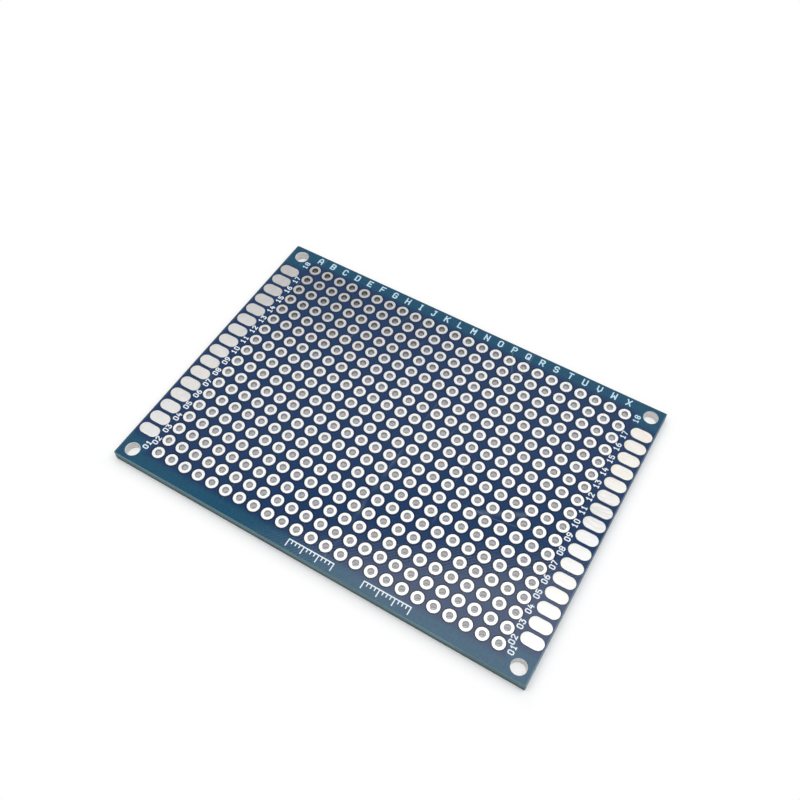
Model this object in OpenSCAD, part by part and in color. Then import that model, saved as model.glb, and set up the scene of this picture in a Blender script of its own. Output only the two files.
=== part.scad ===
// Double-sided prototype board, lying flat with its marked side up.
// The origin is at the middle of the plane that the lower pads rest on.
// X runs along the lettered side, Y along the numbered side, Z out of the marked face.

/* [Board] */
// Length of the board along the lettered side
board_l = 70; // [70:0.5:100]
// Width of the board along the numbered side
board_w = 50; // [50:0.5:80]
// Height from the lowest pad face to the highest
board_t = 1.74; // [0.8:0.02:3.2]
// Thickness of the blue lacquer on each side
mask_t = 0.03; // [0.02:0.005:0.05]
// Bare rim left between a pad and the lacquer
mask_gap = 0.08; // [0.05:0.01:0.12]
// Depth of the scored bevels along the long edges, from each face
score_depth = 0.4; // [0.1:0.05:0.5]
// Distance that the scored bevels set each face back from the long edges
score_inset = 0.06; // [0.05:0.01:0.25]

/* [Lead holes] */
// Distance between neighbouring lead holes
pitch = 2.54; // [2.4:0.01:2.54]
// Number of lettered columns
columns = 24; // [4:1:24]
// Number of numbered rows
rows = 18; // [4:1:18]
// Bore of a plated lead hole
hole_d = 1; // [0.8:0.05:1.2]
// Thickness of the metal sleeve in a lead hole
sleeve_t = 0.05; // [0.03:0.01:0.08]
// Outer diameter of the round pad of a lead hole
pad_d = 2; // [1.7:0.05:2.1]
// Height of a pad over the laminate
pad_t = 0.07; // [0.06:0.01:0.1]
// Fall of a round pad's tin from its crown to its two rims
tin_fall = 0.02; // [0.01:0.005:0.03]

/* [Edge pads] */
// Length of a long pad at the short edges
edge_pad_l = 3.5; // [2.5:0.1:3.5]
// Width of a long pad
edge_pad_w = 2; // [1.6:0.05:2.1]
// Distance from a long pad's outer end to the board's edge
edge_pad_inset = 0.25; // [0.2:0.05:0.5]
// Distance between neighbouring long pads
edge_pad_pitch = 2.55; // [2.4:0.01:2.55]
// Distance that the middle of a column of long pads stands above the middle of the rows
edge_pad_rise = 0.12; // [0:0.02:0.2]

/* [Fixing holes] */
// Diameter of a fixing hole
fixing_d = 2.4; // [2:0.1:3]
// Distance from a fixing hole's centre to the short edge
fixing_from_short_edge = 2; // [1.9:0.1:2.5]
// Distance from a fixing hole's centre to the long edge
fixing_from_long_edge = 1.9; // [1.8:0.1:2.5]

/* [Markings] */
// Thickness of the white ink
ink_t = 0.02; // [0.01:0.005:0.03]
// Width of the pen stroke of the numbers and scales
pen_w = 0.17; // [0.1:0.01:0.2]
// Width of the pen stroke of the column letters
letter_pen_w = 0.22; // [0.1:0.01:0.24]
// Height of a column letter
letter_h = 1.28; // [1:0.02:1.3]
// Width of a column letter
letter_w = 0.88; // [0.7:0.02:1.2]
// Gap between the last row's pads and the feet of the letters
letter_gap = 0.7; // [0.3:0.02:0.7]
// Distance that each letter stands left of its column
letter_shift = 0.25; // [0:0.05:0.5]
// Height of a digit in the row numbers
digit_h = 0.95; // [0.7:0.01:0.97]
// Width of a digit in the row numbers
digit_w = 0.64; // [0.5:0.02:0.7]
// Distance from one digit of a number to the next
digit_step = 0.8; // [0.75:0.01:0.9]
// Distance from the first column to the numbers on its left
number_gap_left = 1.6; // [1.5:0.01:1.65]
// Distance from the last column to the numbers on its right
number_gap_right = 1.4; // [1.4:0.01:1.65]
// Distance that the numbers on the left stand below their row
number_drop_left = 0.93; // [0.8:0.01:1.15]
// Distance that the numbers on the right stand below their row
number_drop_right = 1.08; // [0.8:0.01:1.15]
// Distance from the first column to the first row's number on its left
first_number_gap_left = 2.35; // [2.3:0.01:2.45]
// Distance from the first column to the last row's number on its left
last_number_gap_left = 1.98; // [1.9:0.01:2.15]
// Distance from the last column to the first and last row's numbers on its right
end_number_gap_right = 1.98; // [1.8:0.01:2]
// Distance that the first and last row's numbers on the left stand above their row
end_number_rise_left = 0.22; // [0.1:0.01:0.3]
// Distance that the first and last row's numbers on the right stand above their row
end_number_rise_right = 0.1; // [0.1:0.01:0.3]
// Height of the long lines of the two margin scales
scale_h = 1.3; // [0.8:0.05:1.3]
// Gap between the first row's pads and the margin scales
scale_gap = 0.7; // [0.3:0.05:0.8]
// Number of divisions between two columns of a margin scale
scale_parts = 4; // [2:1:4]

/* [Hidden] */
$fn = 64;

ROW_NAMES = [for (row = [1:rows]) str("plated_holes_row_", two_digits(row))];

LACQUER = [0.11, 0.24, 0.45];
LAMINATE = [0.43, 0.54, 0.56];
TIN = [0.86, 0.85, 0.83];
INK = [0.95, 0.96, 0.96];

LEFT = -1;
RIGHT = 1;
drill_d = hole_d + 2 * sleeve_t;
laminate_t = board_t - 2 * pad_t;
top_face = board_t - pad_t;
ink_face = top_face + mask_t;
first_column = -(columns - 1) * pitch / 2;
first_row = -(rows - 1) * pitch / 2;
last_row = -first_row;
edge_pad_x = board_l / 2 - edge_pad_inset - edge_pad_l / 2;
middle_row = (rows + 1) / 2;
// Gaps of the numbers on each side: at the first row, at the rows between and at the last row
LEFT_GAPS = [first_number_gap_left, number_gap_left, last_number_gap_left];
RIGHT_GAPS = [end_number_gap_right, number_gap_right, end_number_gap_right];
// Columns where the two margin scales start, and the columns that each one spans
scale_starts = [ceil(columns / 2) - 1, ceil(columns / 2) + 4];
scale_span = 3;

// Pen strokes of the digits and capital letters on a field 4 wide and 6 high:
// each sign is a list of strokes, each stroke a list of the points that the pen passes
FIELD = [4, 6];
ROUND = [[1, 6], [3, 6], [4, 5], [4, 1], [3, 0], [1, 0], [0, 1], [0, 5], [1, 6]];
HEAD = [[0, 0], [0, 6], [3, 6], [4, 5], [4, 3.8], [3, 2.8], [0, 2.8]];
SIGNS = [
    ["0", [ROUND]],
    ["1", [[[0.8, 4.8], [2, 6], [2, 0]], [[0.8, 0], [3.2, 0]]]],
    ["2", [[[0, 5], [1, 6], [3, 6], [4, 5], [4, 4], [0, 0], [4, 0]]]],
    ["3", [[[0, 6], [4, 6], [2, 3.6], [3, 3.6], [4, 2.6], [4, 1], [3, 0], [1, 0], [0, 1]]]],
    ["4", [[[1.4, 6], [0, 2], [4, 2]], [[3, 3.6], [3, 0]]]],
    ["5", [[[4, 6], [0, 6], [0, 3.4], [3, 3.4], [4, 2.4], [4, 1], [3, 0], [1, 0], [0, 1]]]],
    ["6", [[[3.4, 6], [2, 6], [0, 3.6], [0, 1], [1, 0], [3, 0], [4, 1], [4, 2.4], [3, 3.4], [0, 3.4]]]],
    ["7", [[[0, 6], [4, 6], [1.4, 0]]]],
    ["8", [[[1, 3], [0, 4], [0, 5], [1, 6], [3, 6], [4, 5], [4, 4], [3, 3], [4, 2], [4, 1], [3, 0],
        [1, 0], [0, 1], [0, 2], [1, 3], [3, 3]]]],
    ["9", [[[0.6, 0], [2, 0], [4, 2.4], [4, 5], [3, 6], [1, 6], [0, 5], [0, 3.6], [1, 2.6], [4, 2.6]]]],
    ["A", [[[0, 0], [0, 4], [1.4, 6], [2.6, 6], [4, 4], [4, 0]], [[0, 2.2], [4, 2.2]]]],
    ["B", [[[0, 0], [0, 6], [3, 6], [4, 5], [4, 4], [3, 3], [4, 2], [4, 1], [3, 0], [0, 0]],
        [[0, 3], [3, 3]]]],
    ["C", [[[4, 5], [3, 6], [1, 6], [0, 5], [0, 1], [1, 0], [3, 0], [4, 1]]]],
    ["D", [[[0, 0], [0, 6], [3, 6], [4, 5], [4, 1], [3, 0], [0, 0]]]],
    ["E", [[[4, 6], [0, 6], [0, 0], [4, 0]], [[0, 3], [3, 3]]]],
    ["F", [[[4, 6], [0, 6], [0, 0]], [[0, 3], [3, 3]]]],
    ["G", [[[4, 5], [3, 6], [1, 6], [0, 5], [0, 1], [1, 0], [3, 0], [4, 1], [4, 2.8], [2.4, 2.8]]]],
    ["H", [[[0, 0], [0, 6]], [[4, 0], [4, 6]], [[0, 3], [4, 3]]]],
    ["I", [[[1.2, 6], [2.8, 6]], [[2, 6], [2, 0]], [[1.2, 0], [2.8, 0]]]],
    ["J", [[[1.6, 6], [3.6, 6]], [[3, 6], [3, 1], [2, 0], [1, 0], [0, 1]]]],
    ["K", [[[0, 0], [0, 6]], [[4, 6], [0, 2.4]], [[1.5, 3.8], [4, 0]]]],
    ["L", [[[0, 6], [0, 0], [4, 0]]]],
    ["M", [[[0, 0], [0, 6], [2, 3], [4, 6], [4, 0]]]],
    ["N", [[[0, 0], [0, 6], [4, 0], [4, 6]]]],
    ["O", [ROUND]],
    ["P", [HEAD]],
    ["Q", [ROUND, [[2.4, 1.8], [4, 0]]]],
    ["R", [HEAD, [[2, 2.8], [4, 0]]]],
    ["S", [[[4, 5], [3, 6], [1, 6], [0, 5], [0, 4], [1, 3], [3, 3], [4, 2], [4, 1], [3, 0], [1, 0],
        [0, 1]]]],
    ["T", [[[0, 6], [4, 6]], [[2, 6], [2, 0]]]],
    ["U", [[[0, 6], [0, 1], [1, 0], [3, 0], [4, 1], [4, 6]]]],
    ["V", [[[0, 6], [0, 2.4], [2, 0], [4, 2.4], [4, 6]]]],
    ["W", [[[0, 6], [0, 0], [2, 3], [4, 0], [4, 6]]]],
    ["X", [[[0, 0], [4, 6]], [[0, 6], [4, 0]]]]
];

function two_digits(number) = number < 10 ? str("0", number) : str(number);
function column_x(column) = first_column + (column - 1) * pitch;
function row_y(row) = first_row + (row - 1) * pitch;
function strokes_of(sign) = SIGNS[search([sign], SIGNS)[0]][1];

// Puts a shape at every lead hole of one column
module along_column(column) {
    for (row = [1:rows])
        translate([column_x(column), row_y(row)]) children();
}

// Puts a shape at every lead hole
module at_lead_holes() {
    for (column = [1:columns])
        along_column(column) children();
}

// Puts a shape at every long pad of one side; the first and last row have none
module at_edge_pads(side) {
    for (row = [2:rows - 1])
        translate([side * edge_pad_x, edge_pad_rise + (row - middle_row) * edge_pad_pitch]) children();
}

// Puts a shape at the four fixing holes
module at_fixing_holes() {
    for (x_side = [LEFT, RIGHT], y_side = [-1, 1])
        translate([
            x_side * (board_l / 2 - fixing_from_short_edge),
            y_side * (board_w / 2 - fixing_from_long_edge)
        ]) children();
}

// Outline of a long pad with round ends, grown by a rim
module edge_pad_outline(rim = 0) {
    square([edge_pad_l - edge_pad_w, edge_pad_w + 2 * rim], center = true);
    for (end = [LEFT, RIGHT])
        translate([end * (edge_pad_l - edge_pad_w) / 2, 0])
            circle(d = edge_pad_w + 2 * rim);
}

// Outline of a face of the board, set back from the long edges, with its fixing holes
module face_outline(inset = 0) {
    difference() {
        square([board_l, board_w - 2 * inset], center = true);
        at_fixing_holes() circle(d = fixing_d);
    }
}

// The wedge that scoring takes off the upper corner of the far long edge
module score_cut() {
    margin = 1;
    translate([-board_l / 2 - margin, 0, laminate_t / 2])
        rotate([90, 0, 90])
            linear_extrude(board_l + 2 * margin)
                polygon([
                    [board_w / 2 - score_inset, 0],
                    [board_w / 2, -score_depth],
                    [board_w / 2 + margin, -score_depth],
                    [board_w / 2 + margin, margin],
                    [board_w / 2 - score_inset, margin]
                ]);
}

// Glass-fibre laminate, drilled for every lead and screw and scored along its long edges
module substrate() {
    color(LAMINATE)
        translate([0, 0, pad_t + laminate_t / 2])
            difference() {
                translate([0, 0, -laminate_t / 2])
                    linear_extrude(laminate_t)
                        difference() {
                            face_outline();
                            at_lead_holes() circle(d = drill_d);
                        }
                for (far = [0, 1], upper = [0, 1])
                    mirror([0, far, 0]) mirror([0, 0, upper]) score_cut();
            }
}

// Lacquer over one face, open at every pad
module lacquer() {
    color(LACQUER)
        linear_extrude(mask_t)
            difference() {
                face_outline(score_inset);
                at_lead_holes() circle(d = pad_d + 2 * mask_gap);
                for (side = [LEFT, RIGHT])
                    at_edge_pads(side) edge_pad_outline(mask_gap);
            }
}

// Lacquer on the marked face
module top_mask() {
    translate([0, 0, top_face]) lacquer();
}

// Lacquer on the plain face
module underside_mask() {
    translate([0, 0, pad_t - mask_t]) lacquer();
}

// Tinned long pads of one side, from a given height up
module edge_pads(side, foot) {
    color(TIN)
        at_edge_pads(side)
            translate([0, 0, foot])
                linear_extrude(pad_t) edge_pad_outline();
}

// Half section of a plated hole: a round pad on each face and the sleeve that joins them
module plated_hole() {
    crown_r = (hole_d + pad_d) / 4;
    rotate_extrude()
        polygon([
            [hole_d / 2, tin_fall],
            [crown_r, 0],
            [pad_d / 2, tin_fall],
            [pad_d / 2, pad_t],
            [drill_d / 2, pad_t],
            [drill_d / 2, top_face],
            [pad_d / 2, top_face],
            [pad_d / 2, board_t - tin_fall],
            [crown_r, board_t],
            [hole_d / 2, board_t - tin_fall]
        ]);
}

// The plated holes of one numbered row
module plated_holes_row(row) {
    color(TIN)
        for (column = [1:columns])
            translate([column_x(column), row_y(row), 0]) plated_hole();
}

// A straight stroke of a pen with square ends
module stroke(from, to, pen) {
    run = to - from;
    translate(from)
        rotate(atan2(run.y, run.x))
            translate([-pen / 2, -pen / 2])
                square([norm(run) + pen, pen]);
}

// One sign, drawn with the pen and centred in a field of the given size
module sign_outline(sign, size, pen) {
    reach = size - [pen, pen];
    for (points = strokes_of(sign), i = [1:len(points) - 1])
        stroke(
            [for (axis = [0, 1]) (points[i - 1][axis] / FIELD[axis] - 0.5) * reach[axis]],
            [for (axis = [0, 1]) (points[i][axis] / FIELD[axis] - 0.5) * reach[axis]],
            pen
        );
}

// A row's two digits, read from the right-hand side of the board
module number_outline(row) {
    digits = two_digits(row);
    rotate(90)
        for (i = [0, 1])
            translate([(i - 0.5) * digit_step, 0])
                sign_outline(digits[i], [digit_w, digit_h], pen_w);
}

// White ink on the marked face, kept off the bare rims and the holes
module ink() {
    color(INK)
        translate([0, 0, ink_face])
            linear_extrude(ink_t)
                children();
}

// Letters over the columns
module column_letters() {
    ink()
        for (column = [1:columns])
            translate([
                column_x(column) - letter_shift,
                last_row + pad_d / 2 + letter_gap + letter_h / 2
            ]) sign_outline(chr(ord("A") + column - 1), [letter_w, letter_h], letter_pen_w);
}

// Numbers between the long pads of one side and the column next to them
module row_numbers(side, column, gaps, drop, end_rise) {
    ink()
        difference() {
            for (row = [1:rows]) {
                gap = row == 1 ? gaps[0] : row < rows ? gaps[1] : gaps[2];
                rise = row == 1 || row == rows ? end_rise : -drop;
                translate([column_x(column) + side * gap, row_y(row) + rise]) number_outline(row);
            }
            along_column(column) circle(d = pad_d + 2 * mask_gap);
            at_edge_pads(side) edge_pad_outline(mask_gap);
            at_fixing_holes() circle(d = fixing_d);
        }
}

// Two short scales in the near margin, with a long line under each column
module margin_scales() {
    step = pitch / scale_parts;
    top = first_row - pad_d / 2 - scale_gap;
    ink()
        for (start = scale_starts) {
            stroke([column_x(start), top], [column_x(start + scale_span), top], pen_w);
            for (i = [0:scale_span * scale_parts]) {
                line_h = i % scale_parts == 0 ? scale_h : scale_h / 2;
                x = column_x(start) + i * step;
                stroke([x, top], [x, top - line_h + pen_w], pen_w);
            }
        }
}

substrate();
top_mask();
underside_mask();
edge_pads(LEFT, top_face);  // edge_pads_left_top
edge_pads(RIGHT, top_face);  // edge_pads_right_top
edge_pads(LEFT, 0);  // edge_pads_left_bottom
edge_pads(RIGHT, 0);  // edge_pads_right_bottom
column_letters();
row_numbers(LEFT, 1, LEFT_GAPS, number_drop_left, end_number_rise_left);  // row_numbers_left
row_numbers(RIGHT, columns, RIGHT_GAPS, number_drop_right, end_number_rise_right);  // row_numbers_right
margin_scales();
for (row = [1:rows])
    plated_holes_row(row);
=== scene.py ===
"""Looks of a double-sided prototype board that lies on a table with its marked side up.

Lengths are in metres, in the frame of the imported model: X runs along the letters, Y along the
numbered rows, Z out of the marked face, and the table is the plane Z = 0.
"""

import math

import bmesh
import bpy
import numpy as np
from mathutils import Matrix, Vector


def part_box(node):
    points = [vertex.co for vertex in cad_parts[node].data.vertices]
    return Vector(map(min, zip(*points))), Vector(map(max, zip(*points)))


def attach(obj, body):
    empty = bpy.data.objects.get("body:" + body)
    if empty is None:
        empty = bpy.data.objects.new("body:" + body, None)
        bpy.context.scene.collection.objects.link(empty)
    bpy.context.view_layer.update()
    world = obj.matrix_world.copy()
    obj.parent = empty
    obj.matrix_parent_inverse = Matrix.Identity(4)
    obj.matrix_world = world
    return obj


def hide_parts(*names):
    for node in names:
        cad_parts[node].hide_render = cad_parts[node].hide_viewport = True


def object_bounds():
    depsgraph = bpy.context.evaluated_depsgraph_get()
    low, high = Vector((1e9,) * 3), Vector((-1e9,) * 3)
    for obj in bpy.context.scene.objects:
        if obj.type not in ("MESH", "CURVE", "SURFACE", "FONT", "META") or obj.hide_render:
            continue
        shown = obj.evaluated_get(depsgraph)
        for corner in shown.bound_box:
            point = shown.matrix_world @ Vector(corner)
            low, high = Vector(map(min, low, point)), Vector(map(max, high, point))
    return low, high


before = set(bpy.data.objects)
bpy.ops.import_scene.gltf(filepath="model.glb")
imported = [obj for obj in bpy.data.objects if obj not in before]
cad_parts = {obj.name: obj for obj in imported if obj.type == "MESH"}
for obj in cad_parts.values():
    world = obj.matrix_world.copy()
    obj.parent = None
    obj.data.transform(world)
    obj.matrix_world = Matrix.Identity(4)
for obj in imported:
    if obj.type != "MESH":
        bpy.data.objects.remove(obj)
cad_low, cad_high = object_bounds()

MM = 0.001
CLOSE = 0.0002 * MM
SHARP_FROM = math.radians(32)
BODY = "root"
SIDES = {"left": -1, "right": 1}

# Grid of the lead holes
PITCH = 2.54 * MM
COLUMNS = 24
ROWS = 18
FIRST_COLUMN = -(COLUMNS - 1) * PITCH / 2
FIRST_ROW = -(ROWS - 1) * PITCH / 2

# Heights of the faces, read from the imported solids
PAD_TOP = cad_high.z
FACE_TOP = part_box("top_mask")[0].z
FACE_BOTTOM = PAD_TOP - FACE_TOP
MIDDLE = PAD_TOP / 2

# Plated holes
BORE_R = 0.5 * MM
LIP_R = 0.56 * MM
LIP_DEPTH = 0.06 * MM
DRILL_R = 0.55 * MM
PAD_R = 1.005 * MM
PAD_BEVEL = 0.025 * MM
PAD_BEVEL_DEPTH = 0.006 * MM
OPENING_R = 1.08 * MM
HOLE_SEGMENTS = 16
OUT_OF_ROUND = 0.01
TIN_LEAN = 0.012 * MM
BLOWN_TOWARDS = math.radians(35)
BLOWN_SPREAD = 0.5
LEAN_SHARES = (0.4, 1.0)

# Long pads at the short edges. Their section pairs a share of the half width with one of the height
LONG_PAD_ROWS = ROWS - 2
LONG_PAD_L = 3.5 * MM
LONG_PAD_W = 2.0 * MM
LONG_PAD_PITCH = 2.55 * MM
LONG_PAD_RISE = 0.12 * MM
LONG_PAD_X = 33.0 * MM
LONG_PAD_SAG = 0.004 * MM
LONG_PAD_RIPPLE = 0.001 * MM
LONG_PAD_WAVE = 0.5 * MM
END_SEGMENTS = 10
STRAIGHT_SEGMENTS = 5
LONG_PAD_SEED = 100
LONG_PAD_SECTION = ((0, 1), (0.35, 1), (0.65, 1), (0.9, 1), (0.975, 0.9), (1, 0), (0, 0))

# Fixing holes and scored edges
FIXING_X = 33.0 * MM
FIXING_Y = 23.1 * MM
FIXING_R = 1.2 * MM
SCORE_DEPTH = 0.4 * MM

# Strips along the edges: each wave of the torn fibres is a length in millimetres and a size
STRIP_STEP = 0.11 * MM
STRIP_DEPTH = 0.05 * MM
LONG_STRIP_CUT = 0.1 * MM
SHORT_STRIP_CUT = 0.12 * MM
FIBRE_SIZE = 0.0016 * MM
FIBRE_HEIGHT = 0.35 * MM
FIBRE_WAVES = ((9.0, 5.0), (3.1, 4.0), (1.3, 4.0), (0.55, 5.0), (0.31, 5.0))

# Ranges over which a finish or painted light or shade changes, measured from the middle of the board
MARGIN_Y = (22.3 * MM, 23.6 * MM)
CORNER_X = (30.2 * MM, 31.6 * MM)
CORNER_Y = (19.9 * MM, 21.4 * MM)
ROUTED_X = (34.75 * MM, 34.95 * MM)
OUTER_PADS_X = (30.5 * MM, 31.0 * MM)
WARM_PADS_Y = (2.0 * MM, 11.0 * MM)
FAR_INK_Y = (13.0 * MM, 23.0 * MM)

# One drag mark over the lacquer: where it starts, how far it runs, and how much it bends
DRAG_X = 14.5 * MM
DRAG_Y = -5.5 * MM
DRAG_LENGTH = 13.0 * MM
DRAG_BEND = 1100.0

# Colours
# Lacquer: painted navy shade between the pads, and painted teal glow along the margins
NAVY = (0.0105, 0.038, 0.114, 1)
TEAL = (0.0105, 0.074, 0.138, 1)
SCUFFED = (0.36, 0.44, 0.52, 1)
COOL_TIN = (0.88, 0.88, 0.87, 1)
WARM_TIN = (0.90, 0.875, 0.84, 1)
WARM_TINT = (1.075, 1.04, 0.985, 1)
THICK_INK = (0.87, 0.88, 0.91, 1)
THIN_INK = (0.13, 0.53, 0.72, 1)
DARK_FIBRES = (0.032, 0.108, 0.130, 1)
PALE_FIBRES = (0.125, 0.272, 0.298, 1)
DARK_DRILLED = (0.66, 0.655, 0.64, 1)
PALE_DRILLED = (0.90, 0.895, 0.88, 1)
# Painted shade on the laminate's faces in the gaps beside the lacquer, outside and inside the hole grid
OUTER_GAP_SHADE = (0.020, 0.040, 0.056, 1)
GRID_GAP_SHADE = (0.007, 0.015, 0.022, 1)
WHITE = (1.0, 1.0, 1.0, 1)
HIGH_WHITE = (0.98, 1.0, 1.03, 1)

# Table and lamp
TABLE_REACH = 2.0
TABLE_SQUARES = 8
PANEL_PLACE = Vector((0.125, -0.010, 1.0))
PANEL_TURN = math.radians(25)
PANEL_WIDTH = 1.7
PANEL_DEPTH = 1.0
PANEL_RADIANCE = 1.6

# Camera of the photograph
LENS_MM = 42.218
SENSOR_MM = 36.0
CAMERA_PLACE = Vector((39.533, -66.666, 124.948)) * MM
CAMERA_AIM = Vector((-2.503, 5.676, 1.74)) * MM
CAMERA_ROLL = math.radians(0.646)


# Meshes


def mesh_piece(name, corners, faces, material):
    """Makes a piece from an array of corners and a list of faces, and joins corners that coincide.

    Faces that meet at a low angle are shaded as one, and the large ones lead.
    """
    mesh = bpy.data.meshes.new(name)
    mesh.from_pydata(corners.reshape(-1, 3).tolist(), [], [list(map(int, face)) for face in faces])
    work = bmesh.new()
    work.from_mesh(mesh)
    bmesh.ops.remove_doubles(work, verts=work.verts, dist=CLOSE)
    work.to_mesh(mesh)
    work.free()
    mesh.shade_smooth()
    mesh.set_sharp_from_angle(angle=SHARP_FROM)
    mesh.materials.append(material)
    piece = bpy.data.objects.new(name, mesh)
    bpy.context.scene.collection.objects.link(piece)
    even = piece.modifiers.new("even_shading", "WEIGHTED_NORMAL")
    even.keep_sharp = True
    even.weight = 100
    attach(piece, BODY)
    return piece


def quads_round(stations, around, copies=1, closed=True):
    """Quads between the rings of a sweep, for a number of copies.

    Corner (i, j) of a copy has number i * around + j. A quad joins (i, j), (i, j + 1), (i + 1, j + 1)
    and (i + 1, j), where j wraps round, and i wraps too if the sweep is closed.
    """
    starts = np.arange(stations if closed else stations - 1)
    i, j = np.meshgrid(starts, np.arange(around), indexing="ij")
    next_i = (i + 1) % stations
    next_j = (j + 1) % around
    corners = [i * around + j, i * around + next_j, next_i * around + next_j, next_i * around + j]
    quads = np.stack(corners, axis=-1).reshape(-1, 4)
    first = np.arange(copies)[:, None, None] * stations * around
    return (quads[None] + first).reshape(-1, 4)


def plated_hole_profile():
    """Closed section of a tinned hole as radius, height over the lower pads and share of the lean.

    It runs over the upper pad to the bore, down to the lower pad, and back behind both foils.
    The lower half mirrors the upper one about the middle of the board.
    """
    upper = np.array([
        [PAD_R, FACE_TOP, 0.0],
        [PAD_R - PAD_BEVEL, PAD_TOP - PAD_BEVEL_DEPTH, 1.0],
        [LIP_R, PAD_TOP, 1.0],
        [BORE_R, PAD_TOP - LIP_DEPTH, 0.0],
    ])
    lower = upper[::-1] * [1, -1, -1] + [0, PAD_TOP, 0]
    behind = np.array([[DRILL_R, FACE_BOTTOM, 0.0], [DRILL_R, FACE_TOP, 0.0]])
    return np.concatenate([upper, lower, behind])


def plated_holes(row, material):
    """The tinned holes of one row: corner = centre + (r cos a, r sin a, z), r and z from the profile.

    Where the tin was blown to one side, its crown is lower on the other by
    lean * (1 - cos(a - side)) / 2, and each bore is out of round by a hundredth times cos(2 a + phase).
    """
    draws = np.random.default_rng(row)
    radius, height, lean = plated_hole_profile().T[:, None, :, None]
    angle = np.arange(HOLE_SEGMENTS) * 2 * math.pi / HOLE_SEGMENTS
    side = BLOWN_TOWARDS + draws.normal(0, BLOWN_SPREAD, (COLUMNS, 1, 1))
    phase = draws.uniform(0, 2 * math.pi, (COLUMNS, 1, 1))
    depth = TIN_LEAN * draws.uniform(*LEAN_SHARES, (COLUMNS, 1, 1))
    r = radius * (1 + OUT_OF_ROUND * np.cos(2 * angle + phase) * (radius < DRILL_R))
    z = height - lean * depth * (1 - np.cos(angle - side)) / 2
    x = FIRST_COLUMN + PITCH * np.arange(COLUMNS)[:, None, None] + r * np.cos(angle)
    y = FIRST_ROW + PITCH * (row - 1) + r * np.sin(angle)
    corners = np.stack(np.broadcast_arrays(x, y, z), axis=-1)
    faces = quads_round(radius.size, HOLE_SEGMENTS, COLUMNS)
    node = f"plated_holes_row_{row:02d}"
    piece = mesh_piece("tinned_" + node, corners, faces, material)
    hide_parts(node)
    return piece


def long_pad_outline():
    """Middle line and angle of the points round a long pad: two half circles joined by straight sides."""
    reach = (LONG_PAD_L - LONG_PAD_W) / 2
    turn = np.linspace(-math.pi / 2, math.pi / 2, END_SEGMENTS + 1)
    slide = np.linspace(reach, -reach, STRAIGHT_SEGMENTS + 1)[1:-1]
    rest = np.full(len(slide), math.pi / 2)
    line = np.concatenate([np.full(len(turn), reach), slide, np.full(len(turn), -reach), -slide])
    angle = np.concatenate([turn, rest, turn + math.pi, -rest])
    return line, angle


def long_pads(side, upper, material):
    """Tinned long pads of one short edge and one face.

    Share s of the half width w gives the point (line + s w cos a, s w sin a). The tin is as high as
    its crown share, less a sag that grows with s squared and a low wave along X and Y. The sweep
    runs from the middle line over the rim to the foot and back to the middle line, where its
    corners join.
    """
    draws = np.random.default_rng(LONG_PAD_SEED + 2 * SIDES[side] + upper)
    line, angle = long_pad_outline()
    share, crown = np.array(LONG_PAD_SECTION).T[:, :, None]
    half = LONG_PAD_W / 2
    x = line + share * half * np.cos(angle)
    y = share * half * np.sin(angle)
    phase = draws.uniform(0, 2 * math.pi, (2, LONG_PAD_ROWS, 1, 1))
    wave = np.sin(x / LONG_PAD_WAVE + phase[0]) * np.sin(y / LONG_PAD_WAVE + phase[1])
    sag = LONG_PAD_SAG * share ** 2 + LONG_PAD_RIPPLE * (1 - wave)
    height = crown * (PAD_TOP - FACE_TOP - sag)
    rows = LONG_PAD_RISE + LONG_PAD_PITCH * (np.arange(LONG_PAD_ROWS) - (LONG_PAD_ROWS - 1) / 2)
    corners = np.stack(np.broadcast_arrays(
        SIDES[side] * LONG_PAD_X + x,
        rows[:, None, None] + y,
        FACE_TOP + height if upper else FACE_BOTTOM - height,
    ), axis=-1)
    faces = quads_round(len(share), len(line), LONG_PAD_ROWS, closed=False)
    if upper:
        faces = faces[:, ::-1]
    name = f"edge_pads_{side}_{'top' if upper else 'bottom'}"
    piece = mesh_piece("tinned_" + name, corners, faces, material)
    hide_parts(name)
    return piece


def edge_strip(name, facing, length, distance, heights, stands, material, roughness, seed):
    """Strip of laminate along one edge of the board, which looks towards the angle facing.

    Each station along the edge carries a closed upright section. Its outer face stands out from the
    edge by the stands, one for each height, and by a sum of sine waves over the run and the height,
    times the roughness. The waves fade out at the foot and at the top.
    """
    draws = np.random.default_rng(seed)
    stations = int(length / STRIP_STEP)
    run = np.linspace(-length / 2, length / 2, stations)[:, None]
    rough = np.zeros((stations, len(heights)))
    for wave_length, size in FIBRE_WAVES:
        along = run * 2 * math.pi / (wave_length * MM) + draws.uniform(0, 6)
        up = heights * 2 * math.pi / FIBRE_HEIGHT * draws.uniform(0.3, 1.0) + draws.uniform(0, 6)
        rough += size * np.sin(along) * np.cos(up)
    share = np.linspace(0, 1, len(heights))
    fade = np.minimum(1, 4 * np.minimum(share, 1 - share))
    face = distance + stands + FIBRE_SIZE * roughness * rough * fade
    back = np.full((stations, 2), distance - STRIP_DEPTH)
    outward = np.concatenate([face, back], axis=1)
    z = np.broadcast_to(np.append(heights, [heights[-1], heights[0]]), outward.shape)
    x = outward * math.cos(facing) - run * math.sin(facing)
    y = outward * math.sin(facing) + run * math.cos(facing)
    corners = np.stack([x, y, z], axis=-1)
    around = outward.shape[1]
    faces = quads_round(stations, around, closed=False)[:, ::-1]
    caps = [np.arange(around), ((stations - 1) * around + np.arange(around))[::-1]]
    return mesh_piece(name, corners, list(faces) + caps, material)


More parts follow.
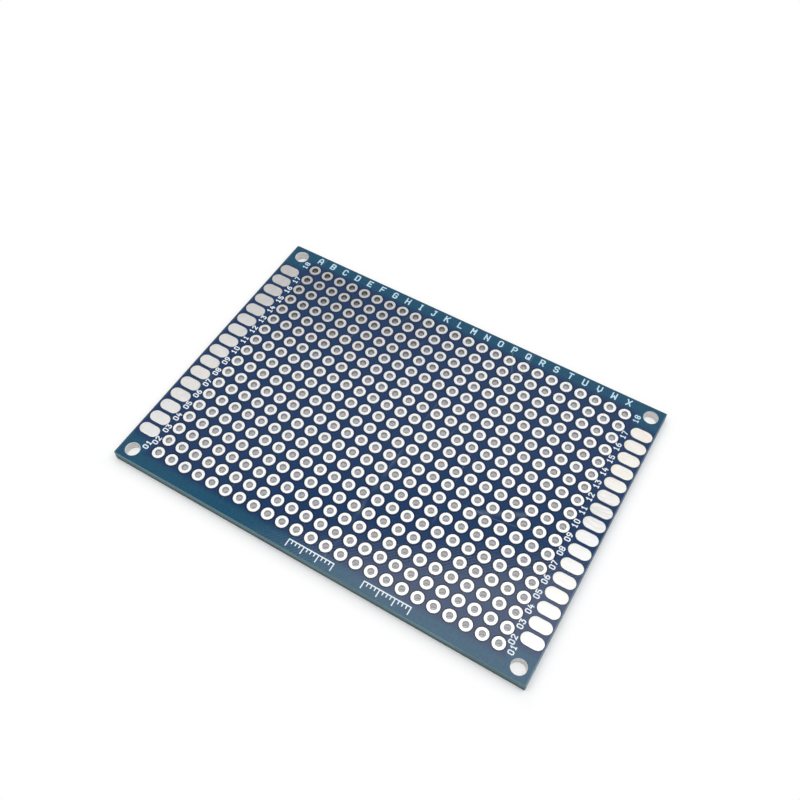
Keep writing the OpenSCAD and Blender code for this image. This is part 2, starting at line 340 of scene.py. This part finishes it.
def edge_strips(material):
    """Torn fibres along the two scored edges, and the routed left edge, which stands out a little.

    The near strip ends at the score above it. The stands go from the foot to the top.
    """
    length = cad_high.x - cad_low.x - LONG_STRIP_CUT
    width = cad_high.y - cad_low.y - SHORT_STRIP_CUT
    snapped = np.linspace(0.02 * MM, FACE_TOP - SCORE_DEPTH, 10)
    whole = np.linspace(FACE_BOTTOM, FACE_TOP, 8)
    up_snapped = np.linspace(0, 1, len(snapped))
    near_stands = MM * np.interp(up_snapped, [0, 0.3, 0.85, 1], [0.01, 0.02, 0.03, -0.006])
    far_stands = MM * np.linspace(0.0, 0.03, len(whole))
    left_stands = MM * np.linspace(0.11, 0.14, len(whole))
    near, far, left = -math.pi / 2, math.pi / 2, math.pi
    for name, facing, run, distance, heights, stands, roughness, seed in (
        ("snapped_edge_near", near, length, cad_high.y, snapped, near_stands, 1.0, 17),
        ("snapped_edge_far", far, length, cad_high.y, whole, far_stands, 1.0, 16),
        ("routed_edge_left", left, width, cad_high.x, whole, left_stands, 0.3, 16),
    ):
        edge_strip(name, facing, run, distance, heights, stands, material, roughness, seed)


# Materials


class Recipe:
    """Adds nodes to one node tree. A value is a number, a colour, a vector or another node's socket."""

    def __init__(self, tree):
        self.tree = tree

    def feed(self, socket, value):
        """Links a socket, or sets its own value."""
        if isinstance(value, bpy.types.NodeSocket):
            self.tree.links.new(value, socket)
        else:
            socket.default_value = value

    def add(self, kind, inputs=None, **settings):
        """Adds a node with its settings and inputs."""
        made = self.tree.nodes.new(kind)
        for name, value in settings.items():
            setattr(made, name, value)
        for name, value in (inputs or {}).items():
            self.feed(made.inputs[name], value)
        return made

    def math(self, operation, first, second=0.0, third=0.0):
        """A sum on numbers."""
        inputs = {0: first, 1: second, 2: third}
        return self.add("ShaderNodeMath", inputs, operation=operation).outputs[0]

    def vector_math(self, operation, *vectors):
        """A sum on vectors."""
        return self.add("ShaderNodeVectorMath", dict(enumerate(vectors)), operation=operation).outputs

    def rise(self, value, low, high, start=0.0, end=1.0):
        """Goes smoothly from start to end while the value goes from low to high."""
        inputs = {"Value": value, "From Min": low, "From Max": high, "To Min": start, "To Max": end}
        return self.add("ShaderNodeMapRange", inputs, interpolation_type="SMOOTHSTEP").outputs["Result"]

    def scaled(self, value, mask, change):
        """The value times 1 + mask * change."""
        return self.math("MULTIPLY", value, self.math("MULTIPLY_ADD", mask, change, 1.0))

    def clamped(self, value):
        """The value, held between 0 and 1."""
        return self.math("MINIMUM", self.math("MAXIMUM", value, 0.0), 1.0)

    def away(self, value, place):
        """How far a number is from another one."""
        return self.math("ABSOLUTE", self.math("SUBTRACT", value, place))

    def hypotenuse(self, first, second):
        """Square root of the sum of two squares."""
        square = self.math("MULTIPLY", second, second)
        return self.math("SQRT", self.math("MULTIPLY_ADD", first, first, square))

    def color(self, red, green, blue):
        """A colour from three numbers."""
        return self.add("ShaderNodeCombineColor", {0: red, 1: green, 2: blue}).outputs[0]

    def mix(self, share, first, second, blend="MIX"):
        """Blends two colours."""
        inputs = {0: share, 6: first, 7: second}
        return self.add("ShaderNodeMix", inputs, data_type="RGBA", blend_type=blend).outputs[2]

    def noise(self, place, size, detail=2.0):
        """Soft noise between 0 and 1 whose blobs are about as wide as size."""
        inputs = {"Vector": place, "Scale": 1 / size, "Detail": detail}
        return self.add("ShaderNodeTexNoise", inputs).outputs[0]

    def stretched(self, place, scale, turn=0.0):
        """The same place with its axes turned and scaled, for patterns that run one way."""
        inputs = {"Vector": place, "Rotation": (0, 0, turn), "Scale": scale}
        return self.add("ShaderNodeMapping", inputs, vector_type="POINT").outputs[0]

    def effect(self, tree, **inputs):
        """Places a shared effect and returns its outputs by name."""
        made = self.add("ShaderNodeGroup", inputs, node_tree=tree)
        return {socket.name: socket for socket in made.outputs}

    def place(self):
        """Object coordinates, in metres, and their three parts."""
        vector = self.add("ShaderNodeTexCoord").outputs["Object"]
        return (vector, *self.add("ShaderNodeSeparateXYZ", {0: vector}).outputs)

    def bump(self, height, depth):
        """Normals of a relief whose height goes from 0 to 1 over depth, in metres."""
        inputs = {"Height": height, "Distance": depth, "Strength": 1.0}
        return self.add("ShaderNodeBump", inputs).outputs[0]


def start_effect(name, inputs, outputs):
    """Starts a node group from (label, kind, first value) inputs and output labels of numbers."""
    tree = bpy.data.node_groups.new(name, "ShaderNodeTree")
    for label, kind, value in inputs:
        socket = tree.interface.new_socket(label, in_out="INPUT", socket_type="NodeSocket" + kind)
        if value is not None:
            socket.default_value = value
    for label in outputs:
        tree.interface.new_socket(label, in_out="OUTPUT", socket_type="NodeSocketFloat")
    recipe = Recipe(tree)
    given = recipe.add("NodeGroupInput").outputs
    result = recipe.add("NodeGroupOutput").inputs
    return tree, recipe, given, result


def grain_effect():
    """Fine grain of one size, and clouds twelve times as wide."""
    tree, recipe, given, result = start_effect(
        "grain and clouds",
        [("Place", "Vector", None), ("Size", "Float", 0.001)],
        ["Grain", "Clouds"],
    )
    per_metre = recipe.math("DIVIDE", 1.0, given["Size"])
    wide = recipe.math("DIVIDE", per_metre, 12.0)
    for label, scale in (("Grain", per_metre), ("Clouds", wide)):
        inputs = {"Vector": given["Place"], "Scale": scale, "Detail": 3.0}
        recipe.feed(result[label], recipe.add("ShaderNodeTexNoise", inputs).outputs[0])
    return tree


def specks_effect():
    """Scattered round specks: some cells hold a speck, of a size drawn from the cell's colour."""
    tree, recipe, given, result = start_effect(
        "scattered specks",
        [("Place", "Vector", None), ("Spacing", "Float", 0.004), ("Size", "Float", 0.1)],
        ["Mask"],
    )
    inputs = {"Vector": given["Place"], "Scale": recipe.math("DIVIDE", 1.0, given["Spacing"])}
    cells = recipe.add("ShaderNodeTexVoronoi", inputs)
    drawn = recipe.add("ShaderNodeSeparateColor", {0: cells.outputs["Color"]}).outputs[0]
    reach = recipe.math("MULTIPLY", given["Size"], recipe.rise(drawn, 0.45, 1.0))
    inner = recipe.math("MULTIPLY", reach, 0.5)
    edge = recipe.math("MAXIMUM", reach, 0.001)
    recipe.feed(result["Mask"], recipe.rise(cells.outputs["Distance"], edge, inner))
    return tree


def hairlines_effect():
    """Faint straight scratches: the borders of long thin cells, broken up by clouds."""
    tree, recipe, given, result = start_effect(
        "hairline scratches",
        [("Place", "Vector", None), ("Spacing", "Float", 0.01)],
        ["Mask"],
    )
    long_cells = recipe.stretched(given["Place"], (1.0, 0.12, 1.0), math.radians(24))
    inputs = {"Vector": long_cells, "Scale": recipe.math("DIVIDE", 1.0, given["Spacing"])}
    cells = recipe.add("ShaderNodeTexVoronoi", inputs, feature="DISTANCE_TO_EDGE")
    line = recipe.rise(cells.outputs["Distance"], 0.008, 0.0)
    gaps = recipe.rise(recipe.noise(given["Place"], 7 * MM), 0.52, 0.68)
    recipe.feed(result["Mask"], recipe.math("MULTIPLY", line, gaps))
    return tree


def hole_grid_effect():
    """Distance from the axis of the nearest lead hole, in metres, and a mask of the grid's field."""
    tree, recipe, given, result = start_effect(
        "distance from lead holes",
        [("Place", "Vector", None)],
        ["Distance", "Field"],
    )
    half = PITCH / 2
    shifted = recipe.vector_math("SUBTRACT", given["Place"], (half, half, 0))[0]
    wrapped = recipe.vector_math("WRAP", shifted, (half, half, 1), (-half, -half, -1))[0]
    flat = recipe.vector_math("MULTIPLY", wrapped, (1, 1, 0))[0]
    recipe.feed(result["Distance"], recipe.vector_math("LENGTH", flat)["Value"])
    x, y, _ = recipe.add("ShaderNodeSeparateXYZ", {0: given["Place"]}).outputs
    inside_x = recipe.math("LESS_THAN", recipe.math("ABSOLUTE", x), half - FIRST_COLUMN)
    inside_y = recipe.math("LESS_THAN", recipe.math("ABSOLUTE", y), half - FIRST_ROW)
    recipe.feed(result["Field"], recipe.math("MULTIPLY", inside_x, inside_y))
    return tree


def start_material(name):
    """Makes a material with a Principled shader, and returns both with a recipe for its nodes."""
    material = bpy.data.materials.new(name)
    material.use_nodes = True
    shader = material.node_tree.nodes["Principled BSDF"]
    return material, shader, Recipe(material.node_tree)


def finish_shader(recipe, shader, color, roughness, normal):
    """Links what varies over the surface to the shader."""
    recipe.feed(shader.inputs["Base Color"], color)
    recipe.feed(shader.inputs["Roughness"], roughness)
    recipe.feed(shader.inputs["Normal"], normal)


def lacquer_material(grain, specks, hairlines, hole_grid):
    """Blue lacquer: painted navy shade between the pads, and painted teal glow along the margins and
    corners, as light coming through the laminate.

    Routing has left it pale along the short edges, the right one most.
    """
    material, shader, recipe = start_material("blue lacquer")
    shader.inputs["IOR"].default_value = 1.55
    place, x, y, _ = recipe.place()
    fine = recipe.effect(grain, Place=place, Size=0.35 * MM)
    broad = recipe.effect(grain, Place=place, Size=1.6 * MM)
    holes = recipe.effect(hole_grid, Place=place)
    scratch = recipe.effect(hairlines, Place=place, Spacing=9 * MM)["Mask"]

    # Painted light and shade: teal glow along the margins and corners, navy shade between the pads.
    color = recipe.mix(margin_glow_share(recipe, x, y, broad["Clouds"]), NAVY, TEAL)
    # Painted shade: the lacquer darkens next to each pad opening inside the hole grid.
    opening_shade = recipe.rise(holes["Distance"], OPENING_R, OPENING_R + 0.2 * MM, 0.35, 1.0)
    opening_shade = recipe.math("MAXIMUM", opening_shade, recipe.math("SUBTRACT", 1.0, holes["Field"]))
    tone = recipe.math("MULTIPLY", opening_shade, recipe.rise(fine["Grain"], 0.25, 0.75, 0.86, 1.14))
    color = recipe.mix(1.0, color, recipe.color(tone, tone, tone), "MULTIPLY")

    dust = recipe.effect(specks, Place=place, Spacing=3.2 * MM, Size=0.028)["Mask"]
    pale = recipe.math("MULTIPLY", dust, 0.5)
    pale = recipe.math("MULTIPLY_ADD", scratch, 0.12, pale)
    pale = recipe.math("MULTIPLY_ADD", drag_mark(recipe, x, y), 0.16, pale)
    pale = recipe.math("ADD", pale, routed_share(recipe, x))
    color = recipe.mix(pale, color, SCUFFED)

    roughness = recipe.rise(broad["Grain"], 0.2, 0.8, 0.05, 0.09)
    roughness = recipe.math("MULTIPLY_ADD", scratch, 0.2, roughness)
    relief = recipe.math("MULTIPLY_ADD", woven(recipe, x, y, 0.62 * MM), 0.35, broad["Grain"])
    finish_shader(recipe, shader, color, roughness, recipe.bump(relief, 0.004 * MM))
    return material


def margin_glow_share(recipe, x, y, clouds):
    """Share of painted teal glow on the lacquer: the long margins and the corners, with cloudy borders.
    """
    across = recipe.math("ABSOLUTE", x)
    along = recipe.math("ABSOLUTE", y)
    corner = recipe.math("MULTIPLY", recipe.rise(across, *CORNER_X), recipe.rise(along, *CORNER_Y))
    share = recipe.math("MAXIMUM", recipe.rise(along, *MARGIN_Y), corner)
    return recipe.clamped(recipe.math("ADD", share, recipe.math("MULTIPLY_ADD", clouds, 0.3, -0.15)))


def routed_share(recipe, x):
    """How pale routing has left the lacquer along the short edges, the right one most."""
    strength = recipe.math("MULTIPLY_ADD", recipe.math("GREATER_THAN", x, 0.0), 0.24, 0.08)
    return recipe.math("MULTIPLY", strength, recipe.rise(recipe.math("ABSOLUTE", x), *ROUTED_X))


def woven(recipe, x, y, period):
    """Relief of the glass cloth under a face: the product of two sine waves of one period."""
    turn = 2 * math.pi / period
    waves = [recipe.math("SINE", recipe.math("MULTIPLY", value, turn)) for value in (x, y)]
    return recipe.math("MULTIPLY", *waves)


def drag_mark(recipe, x, y):
    """One faint drag mark: a line that bends upwards with the cube of its run."""
    run = recipe.math("SUBTRACT", x, DRAG_X)
    cube = recipe.math("POWER", recipe.math("MAXIMUM", run, 0.0), 3.0)
    off = recipe.away(recipe.math("SUBTRACT", y, DRAG_Y), recipe.math("MULTIPLY", cube, DRAG_BEND))
    line = recipe.rise(off, 0.09 * MM, 0.02 * MM)
    start = recipe.rise(run, 0.0, 2 * MM)
    end = recipe.rise(run, DRAG_LENGTH, DRAG_LENGTH - 2.5 * MM)
    return recipe.math("MULTIPLY", line, recipe.math("MULTIPLY", start, end))


def tin_material(grain, hairlines, hole_grid):
    """Hot-dipped tin: satin metal with fine grain and faint warm clouds, whiter on the round pads.

    The bores get painted shade below their lips and painted light deeper down, painted shade dulls
    the tin towards the far left corner, and the right long pads get streaks of painted shade in the
    middle and are warmer towards the far edge.
    """
    material, shader, recipe = start_material("dipped tin")
    shader.inputs["Metallic"].default_value = 1.0
    place, x, y, z = recipe.place()
    fine = recipe.effect(grain, Place=place, Size=0.07 * MM)
    broad = recipe.effect(grain, Place=place, Size=0.6 * MM)
    holes = recipe.effect(hole_grid, Place=place)
    field = holes["Field"]
    bore = recipe.math("MULTIPLY", recipe.rise(holes["Distance"], LIP_R + 0.02 * MM, LIP_R), field)
    scratch = recipe.effect(hairlines, Place=place, Spacing=5 * MM)["Mask"]

    # Painted shade: the tin darkens towards the far left corner, more on the round pads and most in the
    # bores.
    corner_shade_strength = recipe.math("MULTIPLY_ADD", field, 0.16, 0.24)
    corner_shade_strength = recipe.math("MULTIPLY_ADD", bore, 0.14, corner_shade_strength)
    tone = recipe.math("SUBTRACT", 1.0, recipe.math("MULTIPLY", far_corner_shade(recipe, x, y), corner_shade_strength))
    tone = recipe.scaled(tone, field, 0.19)
    # Painted shade just below each bore's lip, and painted light towards the middle of the board.
    tone = recipe.scaled(tone, bore, recipe.math("SUBTRACT", bore_shade_and_light(recipe, z), 1.0))
    tone = recipe.math("MULTIPLY", tone, recipe.rise(fine["Grain"], 0.2, 0.8, 0.94, 1.05))
    # Painted shade in streaks on the right long pads, beside row 11.
    tone = recipe.scaled(tone, streaks_and_painted_dip(recipe, place, x, y), -0.15)
    tone = recipe.color(recipe.scaled(tone, field, -0.012), tone, recipe.scaled(tone, field, 0.045))

    color = recipe.mix(recipe.rise(broad["Clouds"], 0.35, 0.65), COOL_TIN, WARM_TIN)
    color = recipe.mix(1.0, color, tone, "MULTIPLY")
    warm = recipe.math("MULTIPLY", recipe.rise(x, *OUTER_PADS_X), recipe.rise(y, *WARM_PADS_Y))
    color = recipe.mix(warm, color, WARM_TINT, "MULTIPLY")

    roughness = recipe.rise(broad["Grain"], 0.25, 0.75, 0.42, 0.52)
    roughness = recipe.math("MULTIPLY_ADD", scratch, 0.12, roughness)
    roughness = recipe.scaled(roughness, bore, -0.5)
    relief = recipe.math("MULTIPLY_ADD", fine["Grain"], 0.35, broad["Grain"])
    finish_shader(recipe, shader, color, roughness, recipe.bump(relief, 0.006 * MM))
    return material


def bore_shade_and_light(recipe, z):
    """Painted shade and light down a bore: dark just below the lip, and lighter again towards the middle
    of the board.
    """
    below = recipe.math("SUBTRACT", MIDDLE, recipe.away(z, MIDDLE))
    lip_shade = recipe.rise(below, 0.004 * MM, 0.03 * MM, 1.0, 0.5)
    return recipe.math("MULTIPLY", lip_shade, recipe.rise(below, 0.15 * MM, 0.6 * MM, 1.0, 1.65))


def streaks_and_painted_dip(recipe, place, x, y):
    """Share of streaky darkening on the right long pads: painted shade for a dip in their reflection,
    strongest beside row 11, in streaks along X like brushed wear.
    """
    streaks = recipe.noise(recipe.stretched(place, (0.2, 1.0, 1.0)), 0.3 * MM, 3.0)
    strength = recipe.rise(recipe.away(y, 4.2 * MM), 5 * MM, 1 * MM, 0.25, 1.0)
    strength = recipe.math("MULTIPLY", strength, recipe.rise(x, *OUTER_PADS_X))
    return recipe.math("MULTIPLY", strength, recipe.rise(streaks, 0.38, 0.60))


def far_corner_shade(recipe, x, y):
    """Share of painted shade: it fades with the distance from the far left corner, half as fast along X.
    """
    run = recipe.math("MULTIPLY", recipe.math("ADD", x, 35 * MM), 0.5)
    drop = recipe.math("SUBTRACT", 25 * MM, y)
    return recipe.rise(recipe.hypotenuse(run, drop), 29 * MM, 2 * MM)


def ink_material(grain, specks):
    """White printed ink: matte, with pinholes, and bluer towards the far margin."""
    material, shader, recipe = start_material("white ink")
    shader.inputs["IOR"].default_value = 1.45
    place, _, y, _ = recipe.place()
    fine = recipe.effect(grain, Place=place, Size=0.09 * MM)
    pinholes = recipe.effect(specks, Place=place, Spacing=0.7 * MM, Size=0.06)["Mask"]
    far_blueing = recipe.rise(y, *FAR_INK_Y, 0.06, 0.47)
    thin = recipe.math("MULTIPLY_ADD", recipe.rise(fine["Clouds"], 0.45, 0.75), 0.18, far_blueing)
    thin = recipe.math("MULTIPLY_ADD", pinholes, 0.3, thin)
    color = recipe.mix(thin, THICK_INK, THIN_INK)
    roughness = recipe.rise(fine["Grain"], 0.2, 0.8, 0.45, 0.65)
    finish_shader(recipe, shader, color, roughness, recipe.bump(fine["Grain"], 0.004 * MM))
    return material


def laminate_material(grain, hole_grid):
    """Glass-fibre laminate: layered cut edges with painted shade towards the foot and along the score,
    pale drilled walls, and painted shade on the faces in the narrow gaps beside the lacquer.
    """
    material, shader, recipe = start_material("glass-fibre laminate")
    shader.inputs["IOR"].default_value = 1.52
    place, x, y, z = recipe.place()
    fine = recipe.effect(grain, Place=place, Size=0.06 * MM)
    fibres = recipe.noise(recipe.stretched(place, (0.12, 0.12, 1.0)), 0.05 * MM, 3.0)
    streaks = recipe.noise(recipe.stretched(place, (0.03, 0.03, 1.0)), 0.3 * MM)

    layer = recipe.math("MULTIPLY", z, 2 * math.pi / (0.19 * MM))
    layer = recipe.math("SINE", recipe.math("MULTIPLY_ADD", fine["Clouds"], 3.0, layer))
    layered = recipe.rise(layer, -1.0, 1.0, 0.25, 0.75)
    share = recipe.math("ADD", layered, recipe.math("MULTIPLY_ADD", fibres, 0.8, -0.4))
    share = recipe.clamped(recipe.math("ADD", share, recipe.math("MULTIPLY_ADD", streaks, 1.6, -0.8)))

    # Painted shade: the cut edge darkens towards its foot and along the score line.
    shade = recipe.math("MULTIPLY", recipe.rise(z, 0.45 * MM, 1.45 * MM, 0.25, 1.0), score_line_shade(recipe, z))
    cut = recipe.mix(share, DARK_FIBRES, PALE_FIBRES)
    cut = recipe.mix(1.0, cut, recipe.color(shade, shade, shade), "MULTIPLY")
    color = recipe.mix(drilled_wall(recipe, x, y), cut, recipe.mix(share, DARK_DRILLED, PALE_DRILLED))
    # Painted shade: the laminate's faces, seen only in the gaps beside the lacquer, are dark.
    face = recipe.math("GREATER_THAN", recipe.away(z, MIDDLE), MIDDLE - FACE_BOTTOM - 0.002 * MM)
    rim = recipe.mix(recipe.effect(hole_grid, Place=place)["Field"], OUTER_GAP_SHADE, GRID_GAP_SHADE)
    color = recipe.mix(face, color, rim)

    roughness = recipe.rise(fibres, 0.2, 0.8, 0.45, 0.75)
    relief = recipe.math("MULTIPLY_ADD", layered, 0.6, fibres)
    finish_shader(recipe, shader, color, roughness, recipe.bump(relief, 0.012 * MM))
    return material


def score_line_shade(recipe, z):
    """Painted shade: tone of the dark line along the foot of the upper score."""
    return recipe.rise(recipe.away(z, FACE_TOP - SCORE_DEPTH), 0.02 * MM, 0.09 * MM, 0.6, 1.0)


def drilled_wall(recipe, x, y):
    """Mask of the walls of the fixing holes, from the distance to the nearest one's axis."""
    off_x = recipe.math("SUBTRACT", recipe.math("ABSOLUTE", x), FIXING_X)
    off_y = recipe.math("SUBTRACT", recipe.math("ABSOLUTE", y), FIXING_Y)
    return recipe.rise(recipe.hypotenuse(off_x, off_y), FIXING_R + 0.04 * MM, FIXING_R + 0.01 * MM)


def table_material():
    """White table. A few millimetres from the board it is plain white for the rays that show it.

    Under the board some of the light that its holes guide down is added for those rays, less of it
    under the narrow lead holes and under the far left fixing hole.
    """
    material, shader, recipe = start_material("white table")
    shader.inputs["Specular IOR Level"].default_value = 0.0
    shader.inputs["Roughness"].default_value = 0.9
    place, x, y, _ = recipe.place()
    shade = recipe.rise(recipe.noise(place, 0.8 * MM), 0.3, 0.7, 0.945, 0.955)
    recipe.feed(shader.inputs["Base Color"], recipe.color(shade, shade, shade))

    path = recipe.add("ShaderNodeLightPath").outputs
    seen = recipe.math("MAXIMUM", path["Is Camera Ray"], path["Is Glossy Ray"])
    seen = recipe.math("MAXIMUM", seen, path["Is Transmission Ray"])
    across = recipe.math("ABSOLUTE", x)
    along = recipe.math("ABSOLUTE", y)
    past_end = recipe.math("SUBTRACT", across, cad_high.x)
    past_side = recipe.math("SUBTRACT", along, cad_high.y)
    outside = recipe.math("MAXIMUM", past_end, past_side)
    clear = recipe.rise(outside, -0.1 * MM, 2.7 * MM)

    in_columns = recipe.math("LESS_THAN", across, PITCH / 2 - FIRST_COLUMN)
    in_rows = recipe.math("LESS_THAN", along, PITCH / 2 - FIRST_ROW)
    narrow = recipe.math("MULTIPLY", in_columns, in_rows)
    left = recipe.rise(x, -30 * MM, -31 * MM)
    far_left = recipe.math("MULTIPLY", left, recipe.rise(y, 20 * MM, 21 * MM))
    under_board = recipe.math("LESS_THAN", outside, 0.0)
    under_board = recipe.math("MULTIPLY_ADD", far_left, -0.6, under_board)
    guided = recipe.math("MULTIPLY", under_board, recipe.math("MULTIPLY_ADD", narrow, -0.22, 0.5))

    share = recipe.math("MULTIPLY", seen, recipe.math("MAXIMUM", clear, guided))
    glow = recipe.add("ShaderNodeEmission", {"Color": WHITE, "Strength": 1.0})
    blend = recipe.add("ShaderNodeMixShader", {0: share, 1: shader.outputs[0], 2: glow.outputs[0]})
    output = material.node_tree.nodes["Material Output"]
    recipe.feed(output.inputs["Surface"], blend.outputs[0])
    return material


def finish_node(name, material):
    """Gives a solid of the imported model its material."""
    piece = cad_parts[name]
    if not piece.material_slots:
        piece.data.materials.append(material)
    for holder in piece.material_slots:
        holder.material = material


# Light, camera and table


def photo_camera():
    """The camera at the photograph's viewing angle.

    It looks from its place at the aim point, and rolls about its own axis.
    """
    forward = (CAMERA_AIM - CAMERA_PLACE).normalized()
    level = forward.cross(Vector((0, 0, 1))).normalized()
    upright = level.cross(forward)
    right = level * math.cos(CAMERA_ROLL) + upright * math.sin(CAMERA_ROLL)
    above = right.cross(forward)
    data = bpy.data.cameras.new("photo_camera")
    data.lens = LENS_MM
    data.sensor_width = SENSOR_MM
    data.clip_start = 0.01
    camera = bpy.data.objects.new("photo_camera", data)
    axes = Matrix((right, above, -forward)).transposed().to_4x4()
    camera.matrix_world = Matrix.Translation(CAMERA_PLACE) @ axes
    bpy.context.scene.collection.objects.link(camera)
    bpy.context.scene.camera = camera


def overhead_panel():
    """A soft rectangular lamp that faces straight down and is turned about its own axis."""
    data = bpy.data.lights.new("overhead_panel", "AREA")
    data.shape = "RECTANGLE"
    data.size = PANEL_WIDTH
    data.size_y = PANEL_DEPTH
    data.energy = PANEL_RADIANCE * math.pi * PANEL_WIDTH * PANEL_DEPTH
    lamp = bpy.data.objects.new("overhead_panel", data)
    facing = Vector((0, 0, -1)).to_track_quat("-Z", "Y").to_matrix().to_4x4()
    lamp.matrix_world = Matrix.Translation(PANEL_PLACE) @ facing @ Matrix.Rotation(PANEL_TURN, 4, "Z")
    lamp.visible_camera = False
    bpy.context.scene.collection.objects.link(lamp)


def surroundings():
    """A pale room: white round the horizon and dimmer higher up, but brighter on the right and behind.

    The ceiling beside the lamp is dark, and what lies below the horizon mirrors what lies above.
    """
    world = bpy.data.worlds.new("pale_room")
    bpy.context.scene.world = world
    world.use_nodes = True
    recipe = Recipe(world.node_tree)
    backdrop = world.node_tree.nodes["Background"]
    direction = recipe.add("ShaderNodeTexCoord").outputs["Generated"]
    right, behind, upward = recipe.add("ShaderNodeSeparateXYZ", {0: direction}).outputs
    height = recipe.math("ABSOLUTE", upward)
    level = recipe.rise(height, 0.15, 0.65, 1.0, 0.30)
    level = recipe.math("MULTIPLY", level, recipe.rise(height, 0.845, 0.885, 1.0, 0.35))
    level = recipe.math("MULTIPLY_ADD", recipe.rise(right, -0.4, 0.0), 0.14, level)
    window = recipe.math("MULTIPLY", recipe.rise(behind, 0.0, 0.8), recipe.rise(height, 0.70, 0.45))
    level = recipe.math("MULTIPLY_ADD", window, 0.6, level)
    recipe.feed(backdrop.inputs["Color"], recipe.mix(recipe.rise(height, 0.2, 0.7), WHITE, HIGH_WHITE))
    recipe.feed(backdrop.inputs["Strength"], level)


def table():
    """A flat white table top, on a grid whose corners are (u size, v size, 0)."""
    steps = np.linspace(-TABLE_REACH, TABLE_REACH, TABLE_SQUARES + 1)
    x, y = np.meshgrid(steps, steps, indexing="ij")
    corners = np.stack([x, y, np.zeros_like(x)], axis=-1)
    i, j = np.meshgrid(np.arange(TABLE_SQUARES), np.arange(TABLE_SQUARES), indexing="ij")
    across = TABLE_SQUARES + 1
    first = (i * across + j).ravel()
    faces = np.stack([first, first + across, first + across + 1, first + 1], axis=-1)
    mesh = bpy.data.meshes.new("table_top")
    mesh.from_pydata(corners.reshape(-1, 3).tolist(), [], faces.tolist())
    mesh.materials.append(table_material())
    top = bpy.data.objects.new("table_top", mesh)
    bpy.context.scene.collection.objects.link(top)


def build():
    """Makes the whole scene."""
    grain = grain_effect()
    specks = specks_effect()
    hairlines = hairlines_effect()
    hole_grid = hole_grid_effect()
    tin = tin_material(grain, hairlines, hole_grid)
    laminate = laminate_material(grain, hole_grid)
    lacquer = lacquer_material(grain, specks, hairlines, hole_grid)
    ink = ink_material(grain, specks)

    finish_node("substrate", laminate)
    for name in ("top_mask", "underside_mask"):
        finish_node(name, lacquer)
    for name in ("column_letters", "row_numbers_left", "row_numbers_right", "margin_scales"):
        finish_node(name, ink)
    for row in range(1, ROWS + 1):
        plated_holes(row, tin)
    for side in SIDES:
        for upper in (True, False):
            long_pads(side, upper, tin)
    edge_strips(laminate)

    table()
    surroundings()
    overhead_panel()
    photo_camera()
    bpy.context.scene.view_settings.view_transform = "Standard"


build()
